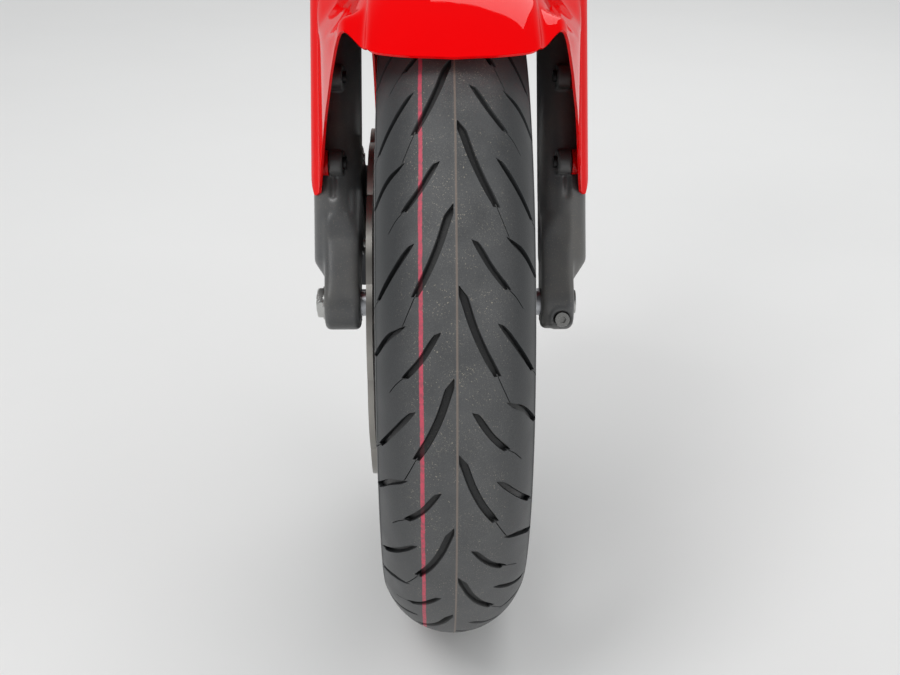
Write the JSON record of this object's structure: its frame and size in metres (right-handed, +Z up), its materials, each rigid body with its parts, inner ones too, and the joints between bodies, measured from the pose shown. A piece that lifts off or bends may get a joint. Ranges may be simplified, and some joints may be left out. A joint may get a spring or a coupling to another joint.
{
  "type": "sport motorcycle front end",
  "caption": "Front wheel, tyre, brake, telescopic fork, mudguard and steering yokes of a sport motorcycle, turning in its steering head bearings.",
  "frame": {"origin": "middle of the lower steering bearing's outer race, on the steering axis", "axes": "+Z up, -Y the way the machine faces, +X its left; the steering axis leans back 25.5 degrees"},
  "size_m": [0.261, 0.6616, 0.9916],
  "materials": {
    "tyre_rubber": "matte, grooved road tread, dusty in the middle",
    "wheel_paint": "satin dark grey paint on cast alloy",
    "disc_steel": "ground bright where the pads run",
    "carrier_alloy": "black anodised alloy",
    "bright_steel": "plated steel",
    "black_rubber": "matte",
    "fork_paint": "graphite satin gloss paint",
    "chrome": "hard chrome, polished",
    "cap_alloy": "clear anodised alloy",
    "red_paint": "glossy red clear-coated plastic",
    "black_steel": "black oxide fasteners",
    "caliper_paint": "black paint on cast iron and alloy",
    "pad_compound": "sintered friction compound on steel",
    "yoke_alloy": "painted graphite alloy casting",
    "bearing_steel": "ground bearing steel"
  },
  "bodies": {
    "headset": {"lower_outer_race": "bearing_steel", "upper_outer_race": "bearing_steel"},
    "fork": {"axle": "bright_steel", "axle_nut": "bright_steel", "collar_right": "cap_alloy", "collar_left": "cap_alloy", "pinch_bolt": "bright_steel", "slider_left": "fork_paint", "slider_right": "fork_paint", "fork_tube_left": "chrome", "fork_tube_right": "chrome", "fork_cap_left": "cap_alloy", "fork_cap_right": "cap_alloy", "dust_seal_left": "black_rubber", "dust_seal_right": "black_rubber", "mudguard": "red_paint", "mudguard_bolts": "black_steel", "caliper": "caliper_paint", "caliper_bracket": "caliper_paint", "caliper_bolts": "bright_steel", "brake_pads": "pad_compound", "lower_yoke": "yoke_alloy", "upper_yoke": "yoke_alloy", "yoke_bolts": "black_steel", "stem": "bright_steel", "stem_nut": "cap_alloy", "adjuster_nut": "bright_steel", "lower_inner_race": "bearing_steel", "upper_inner_race": "bearing_steel"},
    "wheel": {"tyre": "tyre_rubber", "rim": "wheel_paint", "brake_disc": "disc_steel", "disc_carrier": "carrier_alloy", "disc_bobbins": "bright_steel", "disc_bolts": "black_steel", "bearing_right": "bearing_steel", "bearing_left": "bearing_steel", "hub_seal_right": "black_rubber", "hub_seal_left": "black_rubber", "valve": "black_rubber"}
  },
  "joints": [
    {"name": "steering", "type": "hinge", "parent": "headset", "child": "fork", "pos_m": [0, 0, 0], "axis": [0, 0.4305, 0.9026], "range_deg": [-30, 30]},
    {"name": "wheel_spin", "type": "hinge", "parent": "fork", "child": "wheel", "pos_m": [0, -0.2437, -0.42498], "axis": [1, 0, 0], "continuous": true}
  ]
}
